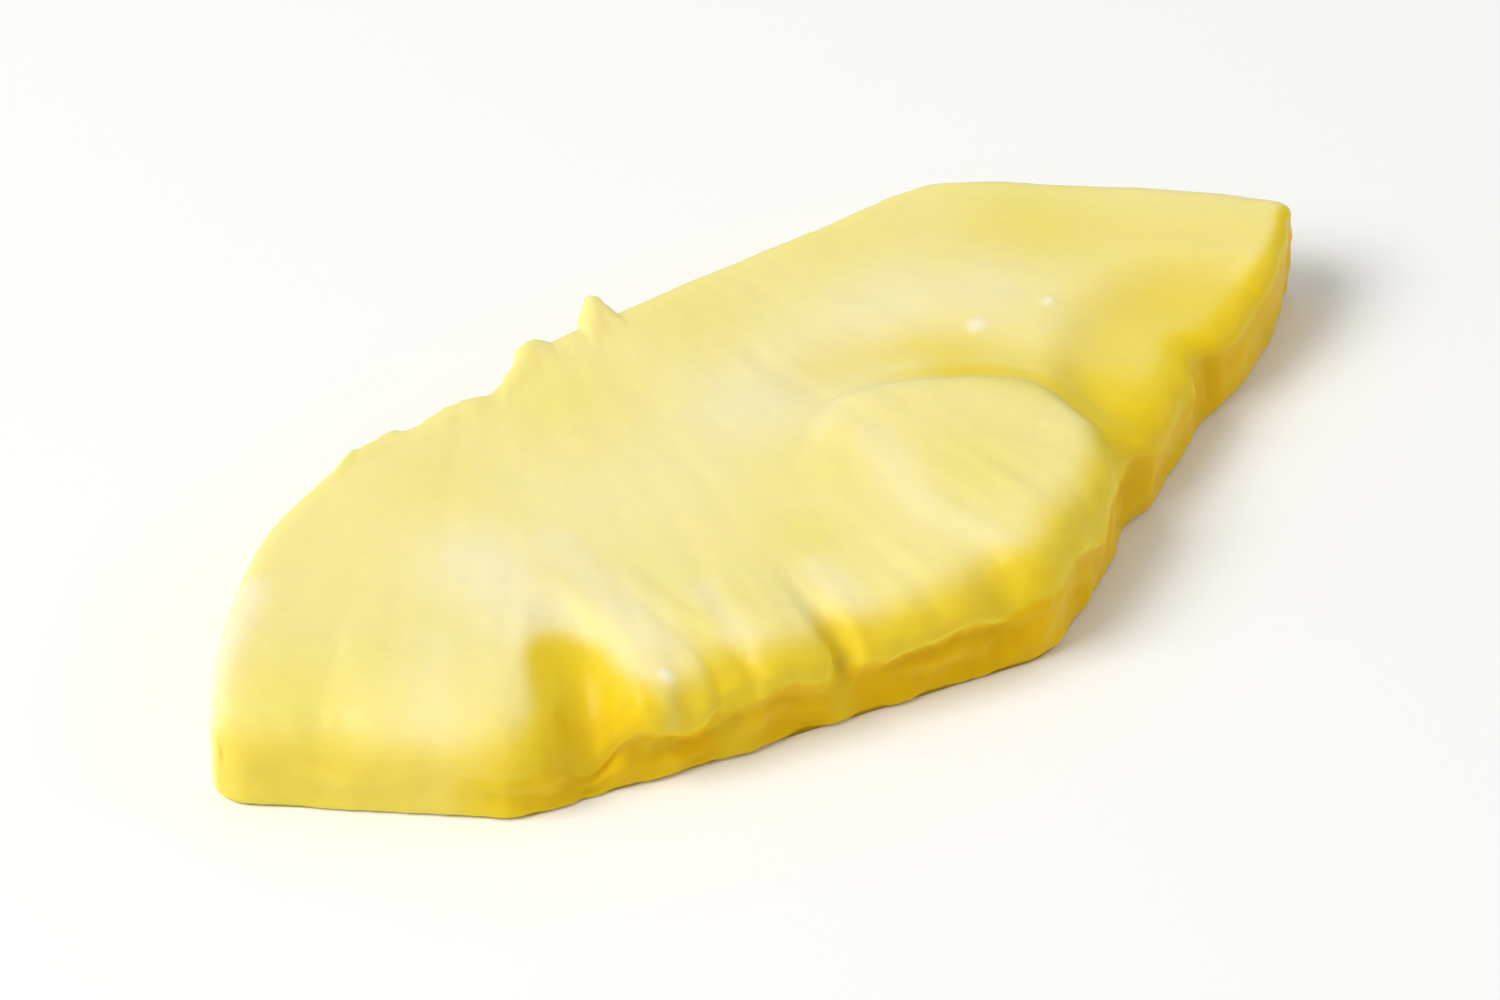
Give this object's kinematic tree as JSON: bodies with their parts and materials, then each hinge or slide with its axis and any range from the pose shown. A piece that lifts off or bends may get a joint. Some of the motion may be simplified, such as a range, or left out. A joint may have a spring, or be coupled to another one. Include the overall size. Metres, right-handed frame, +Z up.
{
  "type": "pineapple slice",
  "caption": "Fresh peeled pineapple slice lying flat: a wedge of a round slice with straight core cut, fan-like fibres and a lobed, knife-peeled rind side.",
  "frame": {"origin": "centre of the bounding box at its underside, on the surface the slice lies on", "axes": "+X along the slice's length; -Y towards the lobed rind side, +Y towards the straight core cut; +Z up, through the slice's thickness"},
  "size_m": [0.0882, 0.0396, 0.0091],
  "materials": {
    "pineapple_flesh": "moist, slightly translucent fruit flesh with a soft gloss; pale at the core side, deep gold at the rind side"
  },
  "bodies": {
    "root": {"pineapple_slice": "pineapple_flesh"}
  },
  "joints": []
}
